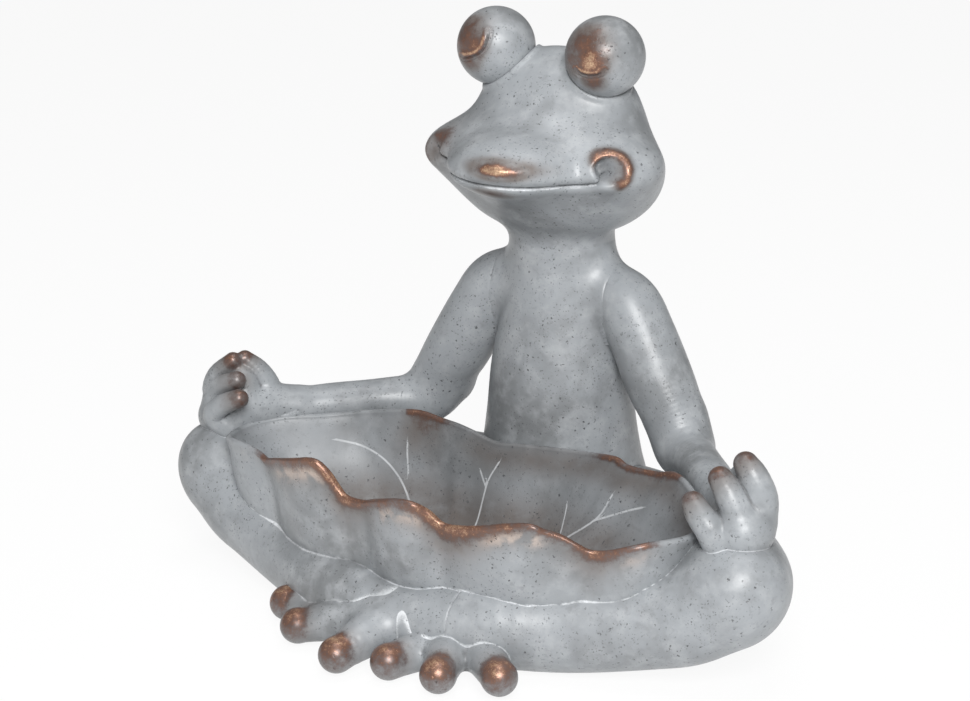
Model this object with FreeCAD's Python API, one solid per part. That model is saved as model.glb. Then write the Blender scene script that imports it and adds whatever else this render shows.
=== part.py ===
import FreeCAD, Part
import math
import os

V = FreeCAD.Vector

# Frog figurine sitting cross-legged with a leaf bowl in its lap, cast in sections that are glued.
# Millimetres, +Z up. The origin is the centre of the torso's flat foot on the ground, the frog
# looks along -Y, and its left side is +X.

# Castings in general
casting_wall = 9.0
crown_wall = 8.0
overrun = 60.0

# Torso: round sections from the seat up to the neck, each at a share of the neck's height
neck_height = 200.0
neck_half_width = 31.0
seat_half_width = 56.0
torso_sections_shares = ((0.0, 1.0), (0.30, 0.90), (0.45, 0.815), (0.60, 0.75), (0.75, 0.66), (0.90, 0.58))
torso_depth_share = 0.96
torso_setback = 4.0
vent_diameter = 10.0
vent_setback = 26.0

# Head: level sections above the neck. Each row gives shares of the head's height, half width, reach to
# the muzzle, reach to the nape and the muzzle's reach again for where it is widest, then its roundness.
head_height = 111.5
head_half_width = 75.0
muzzle_reach = 83.5
nape_reach = 42.5
head_sections_shares = ((0.09, 0.49, 0.40, 0.75, 0.04, 1.0), (0.18, 0.71, 0.51, 0.80, 0.05, 1.0),
                        (0.295, 0.87, 0.71, 0.965, 0.12, 2.0), (0.375, 0.955, 0.93, 1.0, 0.20, 2.6),
                        (0.465, 1.0, 1.0, 0.965, 0.245, 2.4), (0.575, 0.88, 0.92, 0.88, 0.215, 2.6),
                        (0.645, 0.745, 0.695, 0.825, 0.095, 1.8), (0.755, 0.65, 0.42, 0.72, 0.02, 1.0),
                        (0.86, 0.545, 0.335, 0.59, 0.02, 1.0), (0.94, 0.385, 0.24, 0.40, 0.02, 1.0))
head_top_shares = (1.0, 0.11, 0.085, 0.12, 0.02, 1.0)

# Mouth: one smiling slit with a round pocket at each end, and a lip bump over its middle
mouth_rise_share = 0.44
mouth_height = neck_height + mouth_rise_share * head_height
mouth_half_width = 57.0
mouth_smile_rise = 6.0
mouth_gap = 3.0
mouth_depth = 4.5
corner_pocket_radius = 6.0
lip_bump_radius = 9.0
lip_bump_rise = 9.0
lip_bump_inset = 6.0

# Eyes: balls bedded on the crown, with a shallow lid crease
eye_radius = 22.5
eye_out = 36.0
eye_front = 13.0
eye_rise_share = 0.995
eye_height = neck_height + eye_rise_share * head_height
lid_crease_radius = 1.1
lid_crease_tilt = 62.0

# Leaf bowl: oval, with lobes that grow towards a wavy rim
leaf_half_length = 158.0
leaf_half_width = 66.0
leaf_front = 105.0
leaf_foot_height = 31.0
leaf_rim_height = 88.0
leaf_wall = 7.0
leaf_lobe_depth = 4.0
leaf_lobe_count = 11
leaf_rim_wave = 11.0
leaf_level_shares = (0.0, 0.16, 0.45, 0.75, 1.0, 1.4)
leaf_flare_shares = (0.56, 0.68, 0.79, 0.88, 0.96, 1.05)
near_rim_shares = ((-1.10, -0.2), (-0.92, 0.0), (-0.70, 0.95), (-0.54, 0.1), (-0.35, 1.2), (-0.18, -0.4),
                   (0.06, 0.25), (0.25, -0.6), (0.58, 0.2), (0.76, -0.85), (0.90, -0.3), (1.10, -0.2))
far_rim_shares = ((-1.10, -0.2), (-0.92, -0.3), (-0.70, 0.2), (-0.42, 0.75), (-0.20, -0.3), (0.06, -0.2),
                  (0.35, 0.15), (0.70, 0.5), (0.92, -0.2), (1.10, -0.2))

# Upper arms: from the shoulder down and out to the elbow
shoulder_out = 41.0
shoulder_back = 2.0
shoulder_drop = 29.0
shoulder_height = neck_height - shoulder_drop
shoulder_radius = 19.5
upper_arm_radius = 19.5
elbow_out = 88.0
elbow_front = 6.0
elbow_height = 97.0
elbow_radius = 17.0
upper_arm_bow = 3.0

# Forearms: from the elbow forward and out over the bowl's rim to the wrist, beside the bowl's end
forearm_root_radius = 15.0
forearm_radius = 12.5
wrist_inset = 8.0
wrist_out = leaf_half_length - wrist_inset
wrist_front = 71.0
wrist_height = 90.0
wrist_radius = 12.0
forearm_sag = 2.0

# Hands: a cupped palm, the thumb and index finger tip to tip, and two curled fingers. How far out
# each lies is counted from the wrist.
palm_over = 26.0
palm_front = 99.0
palm_height = 91.0
palm_root_radius = 13.5
palm_radius = 16.5
finger_root_radius = 7.5
finger_tip_radius = 6.0
finger_pitch_in = 9.0
finger_pitch_front = 9.0
finger_pitch_down = 7.0
index_root_over = 38.0
index_root_front = 94.0
index_root_height = 97.0
index_tip_over = 21.0
index_tip_front = 93.0
index_tip_height = 121.0
thumb_root_over = 8.0
thumb_root_front = 74.0
thumb_root_height = 98.0
thumb_tip_over = 13.0
thumb_tip_front = 84.0
thumb_tip_height = 120.0

# Legs: thigh from the hip out to the knee past the bowl's end, shin from the knee back across the front
hip_out = 50.0
hip_front = 4.0
hip_height = 34.0
thigh_radius = 34.0
knee_overhang = 17.0
knee_out = leaf_half_length + knee_overhang
knee_front = 100.0
knee_height = 56.0
knee_radius = 29.5
thigh_bow = 8.0
calf_radius = 28.0
shin_radius = 26.0
ankle_over = 6.0
ankle_front = 160.0
ankle_height = 21.0
ankle_radius = 19.0
shin_sag = 16.0
shin_setback = 8.0
ankle_seam_out = 30.0

# Feet: three toes with ball tips each, the left foot's in front and the right foot's below the shin
toe_root_radius = 13.0
toe_root_height = 16.0
toe_root_spread = 9.0
toe_waist_radius = 11.5
toe_neck_radius = 9.5
toe_tip_radius = 10.0
toe_tip_height = 10.5
toe_droop = 3.0
outer_toe_over = 78.0
outer_toe_front = 163.0
middle_toe_over = 54.0
middle_toe_front = 184.0
inner_toe_over = 13.0
inner_toe_front = 203.0
hidden_heel_over = 25.0
hidden_heel_front = 148.0
hidden_root_over = 30.0
hidden_root_front = 158.0
hidden_toe_in_over = 15.0
hidden_toe_in_front = 193.0
hidden_toe_mid_over = 46.0
hidden_toe_mid_front = 193.0
hidden_toe_out_over = 75.0
hidden_toe_out_front = 180.0

# Pins and dowels, set in glue
glue_clearance = 0.15
neck_dowel_radius = 8.0
arm_pin_radius = 3.0
arm_pin_reach = 14.0
wrist_pin_reach = 9.0
dowel_reach = 13.0

# Counts and shares that set how finely the forms are sectioned
head_ring_points = 20
leaf_ring_points = 44
dome_angles = (28, 55, 76, 86)
loft_degree = 3
seam_side = V(0, 0, 1)


def ring(points):
    """Closed smooth wire through points that lie on one level."""
    curve = Part.BSplineCurve()
    curve.interpolate(Points=points, PeriodicFlag=True)
    return Part.Wire([curve.toShape()])


def ellipse_wire(half_x, half_y, centre):
    return Part.Wire([Part.Ellipse(centre, half_x, half_y).toShape()])


def loft(profiles):
    return Part.makeLoft(profiles, True, False, False, loft_degree)


def circle_wire(centre, direction, radius):
    """Circle square to a direction, with its seam turned to the same side for every direction."""
    circle = Part.Circle(centre, direction, radius)
    circle.XAxis = direction.cross(seam_side)
    return Part.Wire([circle.toShape()])


def mirrored(shape):
    """The same shape on the other side of the middle plane."""
    return shape.mirror(V(0, 0, 0), V(1, 0, 0))


def dome(centre, outward, radius):
    """Circles that close a limb's end as half a ball, from beside its great circle to near its pole."""
    axis = V(outward).normalize()
    return [circle_wire(centre + axis * (radius * math.sin(turn)), outward, radius * math.cos(turn))
            for turn in map(math.radians, dome_angles)]


def limb(start, end, bow, radii):
    """Tapered limb: one loft through circles along a parabola from start to end, with ball ends."""
    wires = []
    last = len(radii) - 1
    for index, radius in enumerate(radii):
        share = index / last
        centre = start + (end - start) * share + bow * (4 * share * (1 - share))
        wires.append(circle_wire(centre, end - start + bow * (4 - 8 * share), radius))
    first_dome = dome(start, start - end - bow * 4, radii[0])
    last_dome = dome(end, end - start - bow * 4, radii[-1])
    return loft(first_dome[::-1] + wires + last_dome)


def above_ground(shape):
    """Cut off whatever would reach below the ground plane."""
    box = shape.BoundBox
    size = overrun + max(box.XLength, box.YLength, box.ZLength)
    slab = Part.makeBox(size + size, size + size, size, V(box.Center.x - size, box.Center.y - size, -size))
    return one_solid(shape.cut(slab))


def one_solid(shape):
    """The largest solid of a shape."""
    return max(shape.Solids, key=lambda solid: solid.Volume)


def carve(shape, tools):
    """Cut a list of shapes out of another, one after the other, and keep its main body."""
    for tool in tools:
        shape = one_solid(shape.cut(tool))
    return shape


def torso_wires(inset):
    """Level sections of the torso below the neck, moved inward by an inset."""
    wires = []
    for height, width in torso_sections_shares:
        half_width = seat_half_width * width - inset
        wires.append(ellipse_wire(half_width, half_width * torso_depth_share,
                                  V(0, torso_setback, neck_height * height)))
    return wires


def torso_outer():
    half_depth = neck_half_width * torso_depth_share
    neck = ellipse_wire(neck_half_width, half_depth, V(0, torso_setback, neck_height))
    return loft(torso_wires(0) + [neck])


def torso_cavity():
    """The hollow of the torso, one wall inside its skin and closed by the neck web."""
    hollow = loft(torso_wires(casting_wall))
    floor = Part.makeBox(2 * seat_half_width, 2 * seat_half_width, casting_wall,
                         V(-seat_half_width, -seat_half_width, 0))
    return hollow.cut(floor)


def neck_section():
    depth = neck_half_width * torso_depth_share
    return neck_height, neck_half_width, depth - torso_setback, depth + torso_setback, 0, 1


def head_section(shares):
    """Height, half width, front reach, back reach, where it is widest, and roundness of one level section."""
    height, width, front, back, middle, roundness = shares
    return (neck_height + height * head_height, width * head_half_width, front * muzzle_reach,
            back * nape_reach, middle * muzzle_reach, roundness)


def head_ring(section, inset):
    """One level section: round at the back, and drawn out to the muzzle where its roundness is over one."""
    height, half_width, front, back, middle, roundness = section
    points = []
    for index in range(head_ring_points):
        turn = 2 * math.pi * index / head_ring_points
        swing = math.cos(turn)
        if swing > 0:
            depth = -(front - middle - inset) * swing ** roundness
        else:
            depth = -(back + middle - inset) * swing
        points.append(V((half_width - inset) * math.sin(turn), depth - middle, height))
    return ring(points)


def head_skin(inset):
    """The head's form, moved inward by an inset at its sides but not at its top."""
    sections = [neck_section()] + [head_section(shares) for shares in head_sections_shares]
    wires = [head_ring(section, inset) for section in sections]
    return loft(wires + [head_ring(head_section(head_top_shares), 0)])


def head_cavity():
    """The hollow of the head, one wall inside its skin and closed below by the neck web."""
    return loft([head_ring(head_section(shares), crown_wall) for shares in head_sections_shares[1:]])


def mouth_slit(core):
    """A crescent driven into the face from the front, as deep as the mouth is."""
    lower = Part.BSplineCurve()
    lower.interpolate([V(-mouth_half_width, 0, mouth_height + mouth_smile_rise),
                       V(0, 0, mouth_height - mouth_gap / 2),
                       V(mouth_half_width, 0, mouth_height + mouth_smile_rise)])
    upper = Part.BSplineCurve()
    upper.interpolate([V(-mouth_half_width, 0, mouth_height + mouth_smile_rise),
                       V(0, 0, mouth_height + mouth_gap / 2),
                       V(mouth_half_width, 0, mouth_height + mouth_smile_rise)])
    face = Part.Face(Part.Wire([lower.toShape(), upper.toShape()]))
    return face.extrude(V(0, -(muzzle_reach + overrun), 0)).cut(core)


def mouth_corner():
    """Centre of the left corner pocket, on the face's skin."""
    widest = max(head_sections_shares, key=lambda shares: shares[1])
    height, half_width, front, back, middle, roundness = head_section(widest)
    front_share = math.cos(math.asin(mouth_half_width / half_width)) ** roundness
    return V(mouth_half_width, -middle - (front - middle) * front_share, mouth_height + mouth_smile_rise)


def eyeball(side):
    centre = V(side * eye_out, -eye_front, eye_height)
    ball = Part.makeSphere(eye_radius, centre)
    crease = Part.makeTorus(eye_radius, lid_crease_radius, centre, V(0, 0, 1))
    crease.rotate(centre, V(1, 0, 0), -(90 - lid_crease_tilt))
    front = Part.makeBox(2 * eye_radius, overrun, 2 * overrun,
                         V(centre.x - eye_radius, centre.y - overrun - eye_radius / 2, centre.z - overrun))
    return ball.cut(crease.common(front))


def finger(root, tip, knuckle_out):
    """A curled finger: up from its root, bowed outward at the knuckle, to a ball tip."""
    radii = (finger_root_radius, finger_root_radius, (finger_root_radius + finger_tip_radius) / 2,
             finger_tip_radius)
    return limb(root, tip, knuckle_out, radii)


def left_hand():
    wrist = V(wrist_out, -wrist_front, wrist_height)
    palm = V(wrist_out + palm_over, -palm_front, palm_height)
    mound = limb(wrist, palm, V(0, 0, 0), (palm_root_radius, palm_radius, palm_radius))
    step = V(-finger_pitch_in, -finger_pitch_front, -finger_pitch_down)
    index_root = V(wrist_out + index_root_over, -index_root_front, index_root_height)
    index_tip = V(wrist_out + index_tip_over, -index_tip_front, index_tip_height)
    knuckle_out = V(finger_tip_radius / 2, 0, finger_tip_radius / 2)
    fingers = [finger(index_root + step * place, index_tip + step * place, knuckle_out)
               for place in range(3)]
    thumb_root = V(wrist_out + thumb_root_over, -thumb_root_front, thumb_root_height)
    thumb_tip = V(wrist_out + thumb_tip_over, -thumb_tip_front, thumb_tip_height)
    thumb = finger(thumb_root, thumb_tip, V(0, finger_tip_radius / 2, 0))
    return mound.fuse(fingers + [thumb])


def left_upper_arm():
    shoulder = V(shoulder_out, shoulder_back, shoulder_height)
    elbow = V(elbow_out, -elbow_front, elbow_height)
    radii = (shoulder_radius, (shoulder_radius + upper_arm_radius) / 2, upper_arm_radius,
             (upper_arm_radius + elbow_radius) / 2, elbow_radius)
    return limb(shoulder, elbow, V(upper_arm_bow, 0, upper_arm_bow), radii)


def left_forearm():
    elbow = V(elbow_out, -elbow_front, elbow_height)
    wrist = V(wrist_out, -wrist_front, wrist_height)
    radii = (forearm_root_radius, (forearm_root_radius + forearm_radius) / 2, forearm_radius, wrist_radius)
    return limb(elbow, wrist, V(0, 0, -forearm_sag), radii)


def left_thigh():
    hip = V(hip_out, -hip_front, hip_height)
    knee = V(knee_out, -knee_front, knee_height)
    radii = (thigh_radius, thigh_radius, thigh_radius, (thigh_radius + knee_radius) / 2, knee_radius)
    return limb(hip, knee, V(thigh_bow / 2, thigh_bow / 2, 0), radii)


def left_shin():
    knee = V(knee_out, -knee_front, knee_height)
    ankle = V(-ankle_over, -ankle_front, ankle_height)
    radii = (calf_radius, calf_radius, (calf_radius + shin_radius) / 2, shin_radius, ankle_radius)
    return limb(knee, ankle, V(0, shin_setback, -shin_sag), radii)


def left_leg_form():
    """Thigh and shin folded at the knee, down to and with the ankle."""
    return above_ground(left_thigh().fuse(left_shin()))


def ankle_block():
    """The space past the left ankle seam, where the shin's tail belongs to the foot."""
    depth = 2 * (ankle_radius + calf_radius)
    return Part.makeBox(overrun + ankle_seam_out, depth, overrun,
                        V(-overrun, -ankle_front - depth / 2, 0))


def toe(root, tip):
    """A toe that narrows behind its ball tip."""
    radii = (toe_root_radius, toe_waist_radius, toe_neck_radius, toe_neck_radius, toe_tip_radius)
    return limb(root, tip, V(0, 0, toe_droop), radii)


def toes(root, spread, tips):
    """Three toes whose roots lie side by side."""
    return [toe(root + spread * (place - 1), tip) for place, tip in enumerate(tips)]


def left_foot_form(leg_form):
    """The shin's tail past the ankle seam, with three toes that fan out from it."""
    root = V(-ankle_over, -ankle_front, toe_root_height)
    spread = V(toe_root_spread / 2, -toe_root_spread / 2, 0)
    tips = (V(-outer_toe_over, -outer_toe_front, toe_tip_height),
            V(-middle_toe_over, -middle_toe_front, toe_tip_height),
            V(-inner_toe_over, -inner_toe_front, toe_tip_height))
    return above_ground(leg_form.common(ankle_block()).fuse(toes(root, spread, tips)))


def right_foot_form():
    """Three toes that run forward under the left shin from the end of the right one."""
    heel = V(-hidden_heel_over, -hidden_heel_front, toe_root_height)
    root = V(hidden_root_over, -hidden_root_front, toe_tip_height)
    spread = V(toe_root_spread, 0, 0)
    tips = (V(hidden_toe_in_over, -hidden_toe_in_front, toe_tip_height),
            V(hidden_toe_mid_over, -hidden_toe_mid_front, toe_tip_height),
            V(hidden_toe_out_over, -hidden_toe_out_front, toe_tip_height))
    instep = limb(heel, root, V(0, 0, 0), (toe_tip_radius, toe_tip_radius, toe_tip_radius))
    return above_ground(instep.fuse(toes(root, spread, tips)))


def leaf_ring(level_share, flare_share, inset):
    """One level outline of the leaf, with lobes that deepen towards the rim."""
    height = leaf_foot_height + level_share * (leaf_rim_height - leaf_foot_height)
    points = []
    for index in range(leaf_ring_points):
        turn = 2 * math.pi * index / leaf_ring_points
        lobe = leaf_lobe_depth * level_share * math.cos(leaf_lobe_count * turn)
        reach_x = leaf_half_length * flare_share - inset + lobe
        reach_y = leaf_half_width * flare_share - inset + lobe
        points.append(V(reach_x * math.cos(turn), reach_y * math.sin(turn) - leaf_front, height))
    return ring(points)


def leaf_form(inset, lift):
    """The bowl as a filled form, moved inward by an inset and with its floor lifted."""
    wires = [leaf_ring(level, flare, inset) for level, flare in zip(leaf_level_shares, leaf_flare_shares)]
    form = loft(wires)
    if lift == 0:
        return form
    corner = V(-2 * leaf_half_length, -leaf_front - 2 * leaf_half_width, leaf_foot_height - overrun)
    return form.cut(Part.makeBox(4 * leaf_half_length, 4 * leaf_half_width, overrun + lift, corner))


def rim_trimmer(shares, towards):
    """Everything above a wavy line, on one side of the leaf's long axis."""
    line = [V(x_share * leaf_half_length, 0, leaf_rim_height + z_share * leaf_rim_wave)
            for x_share, z_share in shares]
    wave = Part.BSplineCurve()
    wave.interpolate(line)
    ceiling = leaf_rim_height + overrun
    edges = [wave.toShape(), Part.LineSegment(line[-1], V(line[-1].x, 0, ceiling)).toShape(),
             Part.LineSegment(V(line[-1].x, 0, ceiling), V(line[0].x, 0, ceiling)).toShape(),
             Part.LineSegment(V(line[0].x, 0, ceiling), line[0]).toShape()]
    face = Part.Face(Part.Wire(edges))
    face.translate(V(0, -leaf_front, 0))
    return face.extrude(V(0, towards * (leaf_half_width + overrun), 0))


def leaf_filled():
    """The leaf's outer form, filled up to its wavy rim: what its neighbours are bedded against."""
    return leaf_form(0, 0).cut([rim_trimmer(near_rim_shares, -1), rim_trimmer(far_rim_shares, 1)])


def pin(centre, direction, radius, reach):
    """A round pin that reaches equally far to both sides of its centre."""
    axis = V(direction)
    axis.normalize()
    return Part.makeCylinder(radius, 2 * reach, centre - axis * reach, axis)


def write(name, shape):
    shape.exportStep("parts/" + name + ".step")
    print(name, "solids", len(shape.Solids), "valid", shape.isValid(), "volume", round(shape.Volume))


def write_head_and_torso(leaf):
    neck = V(0, torso_setback, neck_height)
    write("neck_dowel", pin(neck, V(0, 0, 1), neck_dowel_radius, dowel_reach))
    neck_hole = pin(neck, V(0, 0, 1), neck_dowel_radius + glue_clearance, dowel_reach)
    vent = Part.makeCylinder(vent_diameter / 2, casting_wall + overrun, V(0, vent_setback, -overrun / 2))
    write("torso_shell", carve(torso_outer(), [torso_cavity(), leaf, neck_hole, vent] + shoulder_holes()))

    skin = head_skin(0)
    core = head_skin(mouth_depth)
    pocket = Part.makeSphere(corner_pocket_radius, mouth_corner())
    bump_centre = V(0, -muzzle_reach + lip_bump_inset, mouth_height + lip_bump_rise)
    bump = Part.makeSphere(lip_bump_radius, bump_centre).cut(core)
    head = carve(skin, [head_cavity(), mouth_slit(core), pocket, mirrored(pocket), neck_hole])
    write("head_shell", one_solid(head.fuse(bump)))
    write("eye_left", carve(eyeball(1), [skin]))
    write("eye_right", carve(eyeball(-1), [skin]))


def write_legs(leaf, torso, leg_form):
    foot_form = left_foot_form(leg_form)
    foot_right = carve(right_foot_form(), [leaf])
    write("foot_right", foot_right)
    write("leg_left", carve(leg_form, [ankle_block(), torso, leaf, foot_right]))
    write("foot_left", carve(foot_form, [foot_right, leaf]))
    write("leg_right", carve(mirrored(leg_form), [foot_form, torso, leaf, foot_right]))


def arm_pins(clearance):
    """Shoulder, elbow and wrist pins of the left arm, each with room for glue round it."""
    shoulder = V(shoulder_out, shoulder_back, shoulder_height)
    elbow = V(elbow_out, -elbow_front, elbow_height)
    wrist = V(wrist_out, -wrist_front, wrist_height)
    along = (wrist - elbow).normalize()
    radius = arm_pin_radius + clearance
    return (pin(shoulder, V(1, 0, 0), radius, arm_pin_reach),
            pin(elbow + along * elbow_radius, along, radius, arm_pin_reach),
            pin(wrist + along * wrist_radius, along, radius, wrist_pin_reach))


def shoulder_holes():
    hole = arm_pins(glue_clearance)[0]
    return [hole, mirrored(hole)]


def write_arms(leaf, torso, leg_form):
    shoulder_hole, elbow_hole, wrist_hole = arm_pins(glue_clearance)
    forearm_form = left_forearm()
    arm_form = left_upper_arm()
    upper_arm = carve(arm_form, [torso, leaf, shoulder_hole, elbow_hole])
    forearm = carve(forearm_form, [arm_form, leg_form, leaf, elbow_hole, wrist_hole])
    hand = carve(left_hand(), [forearm_form, leg_form, leaf, wrist_hole])
    for name, shape in (("upper_arm", upper_arm), ("forearm", forearm), ("hand", hand)):
        write(name + "_left", shape)
        write(name + "_right", mirrored(shape))
    for name, shape in zip(("shoulder", "elbow", "wrist"), arm_pins(0)):
        write(name + "_pins", Part.makeCompound([shape, mirrored(shape)]))


def main():
    os.makedirs("parts", exist_ok=True)
    leaf = leaf_filled()
    torso = torso_outer()
    leg_form = left_leg_form()
    write("leaf_bowl", one_solid(leaf.cut(leaf_form(leaf_wall, leaf_wall))))
    write_head_and_torso(leaf)
    write_legs(leaf, torso, leg_form)
    write_arms(leaf, torso, leg_form)


if __name__ == "__main__":
    main()
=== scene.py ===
import math

import bpy
import numpy as np
import openvdb
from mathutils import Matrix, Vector


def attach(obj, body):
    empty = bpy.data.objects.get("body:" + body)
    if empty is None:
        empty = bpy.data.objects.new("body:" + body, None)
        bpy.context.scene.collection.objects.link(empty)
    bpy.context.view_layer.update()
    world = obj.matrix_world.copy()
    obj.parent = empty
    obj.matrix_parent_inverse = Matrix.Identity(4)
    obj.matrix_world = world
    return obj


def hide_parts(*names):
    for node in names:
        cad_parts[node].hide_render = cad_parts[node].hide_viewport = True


bl_info = {
    "name": "Frog with a leaf bowl",
    "version": (1, 0, 0),
    "blender": (4, 5, 0),
    "location": "3D View > Sidebar > Frog",
    "description": "Dresses the cast frog figurine and its leaf bowl, and lights them",
    "category": "Object",
}

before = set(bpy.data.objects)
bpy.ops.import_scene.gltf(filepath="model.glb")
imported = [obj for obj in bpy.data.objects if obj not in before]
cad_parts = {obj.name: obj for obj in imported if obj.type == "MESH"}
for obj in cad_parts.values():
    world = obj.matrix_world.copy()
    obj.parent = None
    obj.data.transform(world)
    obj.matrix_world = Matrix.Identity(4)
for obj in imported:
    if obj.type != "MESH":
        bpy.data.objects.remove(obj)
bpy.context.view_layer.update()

# Lengths are in millimetres until a mesh is made. The frog looks along -Y and its left side is +X.
MM = 0.001

# Rows of x, y, z and radius along the middle of each limb
TORSO = np.array([(0, 4, 0, 57), (0, 4, 30, 56.5), (0, 4, 60, 49.5), (0, 3, 90, 45), (0, 3.5, 120, 42.5),
                  (0, 4, 150, 37), (0, 3, 180, 31.5), (0, 2, 200, 31.2), (0, -2, 216, 30)], float)
UPPER_ARM = np.array([(28, 3, 176, 14.5), (44, 2, 167, 18.7), (55, 0.5, 151, 19.4), (71, -2, 122, 19.6),
                      (85, -5, 101, 16), (90, -6, 92, 15)], float)
FOREARM = np.array([(80, 0, 102, 17.5), (90.5, -10, 90, 16.3), (109, -27, 90, 12.8),
                    (130, -50, 89.2, 12.9), (147.5, -69, 89.2, 11.8), (158, -80, 91, 12.5)], float)
THIGH = np.array([(30, 8, 32, 33), (50, 2, 34, 34), (95, -25, 42, 33.5), (140, -62, 50, 32),
                  (166, -91, 56, 29.5), (176, -103, 60, 24.5)], float)
SHIN = np.array([(167, -104, 50, 27), (150, -109, 39.5, 27), (132, -113, 34, 27), (88, -130, 26, 26),
                 (50, -151, 24.5, 23), (15, -160, 22, 19), (-10, -163, 20, 18)], float)
PALM = np.array([(146, -67, 90, 11.8), (157, -78, 91, 13.5), (167, -91, 91, 15.5),
                 (171, -97, 90, 15)], float)
WRIST = np.array((150.0, -71.0, 90.0))
NECK_SEAM = 200.0
SHOULDER_SEAM = 39.0
ELBOW = np.array((91.0, -9.5, 92.0))
ELBOW_RUN = np.array((0.741, -0.50, -0.45))
ANKLE_SEAM = 38.0

# The torso's middle lies behind the origin, and it is a little shallower than it is wide
TORSO_BACK = 4
TORSO_DEPTH = 0.96

# Rows of place along the leaf, rim height and lean outward, near side then far side
NEAR_RIM = np.array([(-158, 84, 5), (-146, 87, 6), (-134, 89, 3), (-122, 88, -1), (-112, 86, -2),
                     (-98, 90, 1), (-74, 97, 5), (-57, 101, 4), (-50, 97, 2), (-43, 86, -1),
                     (-38, 82, -2), (-26, 82, -2), (-11, 87, 2), (4, 91, 4), (15, 91, 3.5), (23, 86, 0),
                     (31, 80, -2), (43, 81, 0), (56, 84, 2), (70, 88, 3.5), (84, 90, 4), (92, 87, 2),
                     (101, 84, 0), (109, 80, -1), (117, 76, -2), (126, 77, 0), (137, 81, 2), (146, 82, 1),
                     (158, 82, 0)], float)
FAR_RIM = np.array([(-158, 84, 5), (-148, 86, 3), (-130, 87, 2), (-109, 89, 4), (-86, 92, 4),
                    (-70, 93, 4), (-55, 91, 2), (-43, 90, 0), (-29, 87, -1), (-15, 84, -2), (0, 85, -1),
                    (18, 86, 1), (37, 87, 3), (52, 89, 2), (73, 92, 0), (85, 90, -1), (104, 91, 2),
                    (118, 95, 2), (136, 92, 1), (158, 82, 0)], float)
# Rows of place along the leaf, strength of the copper rub and how far down it spreads, near side
# then far side
NEAR_RUB = np.array([(-158, 0, 3), (-122, 0.2, 3), (-110, 0.7, 4), (-98, 0.75, 5), (-74, 0.7, 7),
                     (-57, 0.75, 7), (-45, 1.0, 9), (-30, 0.85, 6), (-5, 0.75, 6), (15, 0.85, 7),
                     (27, 1.0, 9), (45, 1.0, 8), (70, 0.7, 6), (90, 0.55, 5), (112, 0.8, 6),
                     (122, 0.9, 7), (137, 0.5, 5), (150, 0.1, 4), (158, 0, 3)], float)
FAR_RUB = np.array([(-158, 0, 3), (-88, 0, 3), (-78, 0.35, 8), (-68, 0.7, 13), (-58, 0.55, 10),
                    (-48, 0.2, 5), (-20, 0.1, 3), (20, 0.1, 3), (55, 0.2, 4), (75, 0.5, 6), (84, 0.3, 4),
                    (108, 0.6, 5), (118, 0.7, 5), (130, 0.1, 3), (158, 0, 3)], float)
LEAF_MIDDLE = np.array((0.0, -105.0))
LEAF_HALF = np.array((158.0, 66.0))
LEAF_FOOT = 31.0
LEAF_TOP = 88.0
LEAF_COLUMNS = 900
LIP_ROWS = 9

# How deep a casting runs on under the leaf's skin, and under the skin of a foot that lies over it
BEDDING = 3.0
FOOT_BEDDING = 2.0
# How far to either side of a seam its pale dust is measured, and the same for the leaf's veins
DUST_REACH = 6.0
VEIN_REACH = 4.0
# Share of the painted shade in the hollows that the torso and the upper arms get
SKIN_HOLLOW_SHADE = 0.25
# Edges that turn by more than this stay sharp
SHARP_ANGLE = math.radians(50)


def length(name, description, default, low=0.0):
    return bpy.props.FloatProperty(name=name, description=description, default=default, min=low,
                                   unit="LENGTH", subtype="DISTANCE")


def shade(name, description, default):
    return bpy.props.FloatVectorProperty(name=name, description=description, default=default, size=3,
                                         min=0.0, max=1.0, subtype="COLOR")


def share(name, description, default):
    return bpy.props.FloatProperty(name=name, description=description, default=default, min=0.0,
                                   max=1.0, subtype="FACTOR")


class FrogPaint(bpy.types.PropertyGroup):
    """Colours and wear of the painted castings and the pins."""
    grey: shade("Grey", "Body colour of the paint", (0.29, 0.307, 0.323))
    pale_grey: shade("Pale grey", "Cloudy lighter patches", (0.39, 0.405, 0.42))
    dark_grey: shade("Dark grey", "Cloudy darker patches", (0.17, 0.178, 0.184))
    # The pit colour also paints the shade in the hollows
    pit_and_shade: shade("Pits", "Small dark pits", (0.05, 0.052, 0.055))
    # This colour also paints highlights along the lower lip's edge and the far rim's top
    dust_and_highlight: shade("Dust", "Pale worn lines along the seams", (0.66, 0.68, 0.70))
    umber: shade("Umber", "Brown smudges in the hollows", (0.105, 0.078, 0.062))
    # The pinkish rub below the crests is partly a painted sheen
    blush_and_sheen: shade("Blush", "Thin pinkish rub below the leaf's crests", (0.62, 0.49, 0.41))
    copper_edge: shade("Copper edge", "Outer edge of a copper rub", (0.085, 0.040, 0.030))
    copper: shade("Copper", "Middle of a copper rub", (0.27, 0.136, 0.088))
    # The gold is partly a painted highlight at the cores of the rubs
    gold: shade("Gold", "Brightest flecks of a copper rub", (0.74, 0.53, 0.34))
    steel: shade("Steel", "Drawn steel of the pins", (0.56, 0.57, 0.58))
    stain: shade("Stain", "Small stains on the pins", (0.34, 0.31, 0.28))
    paint_roughness: share("Paint roughness", "Roughness of the plain paint", 0.36)
    copper_roughness: share("Copper roughness", "Roughness of the copper rubs", 0.34)


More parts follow.
